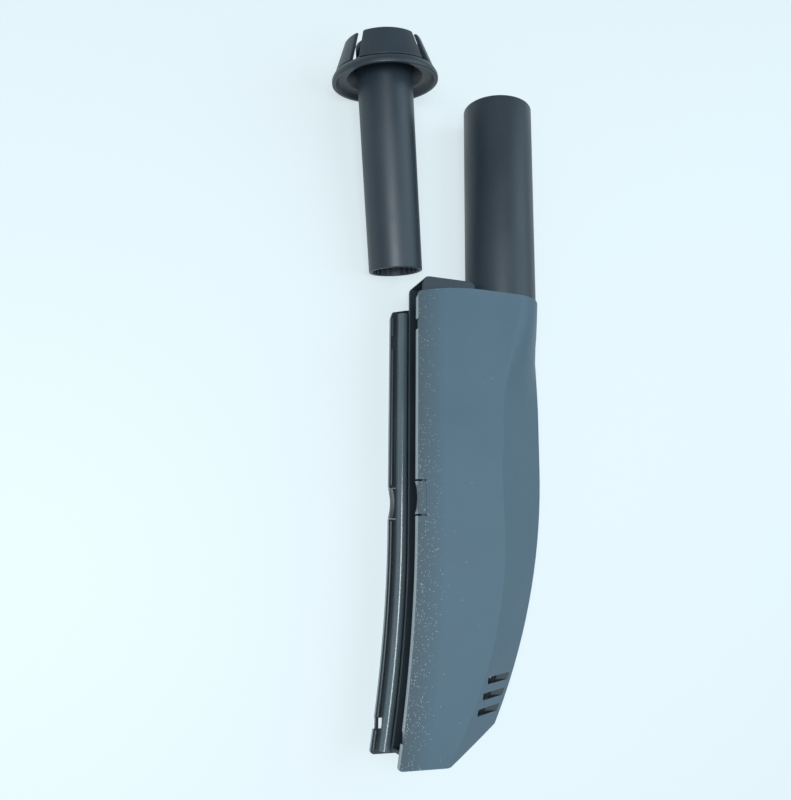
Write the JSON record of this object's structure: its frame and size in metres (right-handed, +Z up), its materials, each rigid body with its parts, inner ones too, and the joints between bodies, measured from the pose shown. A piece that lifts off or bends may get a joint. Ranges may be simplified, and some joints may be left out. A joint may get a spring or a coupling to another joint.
{
  "type": "vacuum nozzle set",
  "caption": "Vacuum-cleaner slot nozzle with a long open mouth, bleed-air vents and a round neck, lying on its side with its loose plug-in adapter tube with a slotted bell collar beside it.",
  "frame": {"origin": "on the surface, under the middle of the set's bounding box, with the nozzle lying on its far cheek", "axes": "+Z up; +Y from the casing's slanted lower end along it towards the round neck and the adapter's crown; -X out of the nozzle's long mouth"},
  "size_m": [0.1202, 0.3674, 0.0565],
  "materials": {
    "casing": "fine-textured slate plastic",
    "smooth": "smooth satin charcoal plastic",
    "gloss": "glossy black plastic",
    "pin": "pale unfinished plastic"
  },
  "bodies": {
    "nozzle": {"near_shell": "casing", "far_shell": "casing", "near_rail": "gloss", "far_rail": "gloss", "mouth_channel": "smooth", "neck_tube": "smooth", "dowel_1": "pin", "dowel_2": "pin", "dowel_3": "pin"},
    "near_tongue": {"near_tongue": "casing"},
    "far_tongue": {"far_tongue": "casing"},
    "adapter": {"adapter_tube": "smooth", "adapter_ring": "smooth"},
    "petal_1": {"petal_1": "smooth"},
    "petal_2": {"petal_2": "smooth"},
    "petal_3": {"petal_3": "smooth"},
    "petal_4": {"petal_4": "smooth"}
  },
  "joints": [
    {"name": "adapter_lift", "type": "slide", "parent": "nozzle", "child": "adapter", "axis": [0, 0, 1], "range_m": [0, 0.12]},
    {"name": "near_tongue_flex", "type": "hinge", "parent": "nozzle", "child": "near_tongue", "pos_m": [-0.01326, -0.06207, 0.0402], "axis": [0, 1, 0], "range_deg": [-10, 2], "stiffness_Nm_per_rad": 0.2},
    {"name": "far_tongue_flex", "type": "hinge", "parent": "nozzle", "child": "far_tongue", "pos_m": [-0.01326, -0.06207, 0.001], "axis": [0, 1, 0], "range_deg": [0, 10], "stiffness_Nm_per_rad": 0.2},
    {"name": "petal_1_flex", "type": "hinge", "parent": "adapter", "child": "petal_1", "pos_m": [-0.03698, 0.15977, 0.05344], "axis": [0.9762, 0.09, 0.1974], "range_deg": [-4, 2], "stiffness_Nm_per_rad": 1},
    {"name": "petal_2_flex", "type": "hinge", "parent": "adapter", "child": "petal_2", "pos_m": [-0.00769, 0.1661, 0.03388], "axis": [0.1814, 0.1602, -0.9703], "range_deg": [-4, 2], "stiffness_Nm_per_rad": 1},
    {"name": "petal_3_flex", "type": "hinge", "parent": "adapter", "child": "petal_3", "pos_m": [-0.0278, 0.16788, 0.00434], "axis": [-0.9762, -0.09, -0.1974], "range_deg": [-4, 2], "stiffness_Nm_per_rad": 1},
    {"name": "petal_4_flex", "type": "hinge", "parent": "adapter", "child": "petal_4", "pos_m": [-0.05709, 0.16155, 0.02389], "axis": [-0.1814, -0.1602, 0.9703], "range_deg": [-4, 2], "stiffness_Nm_per_rad": 1}
  ]
}
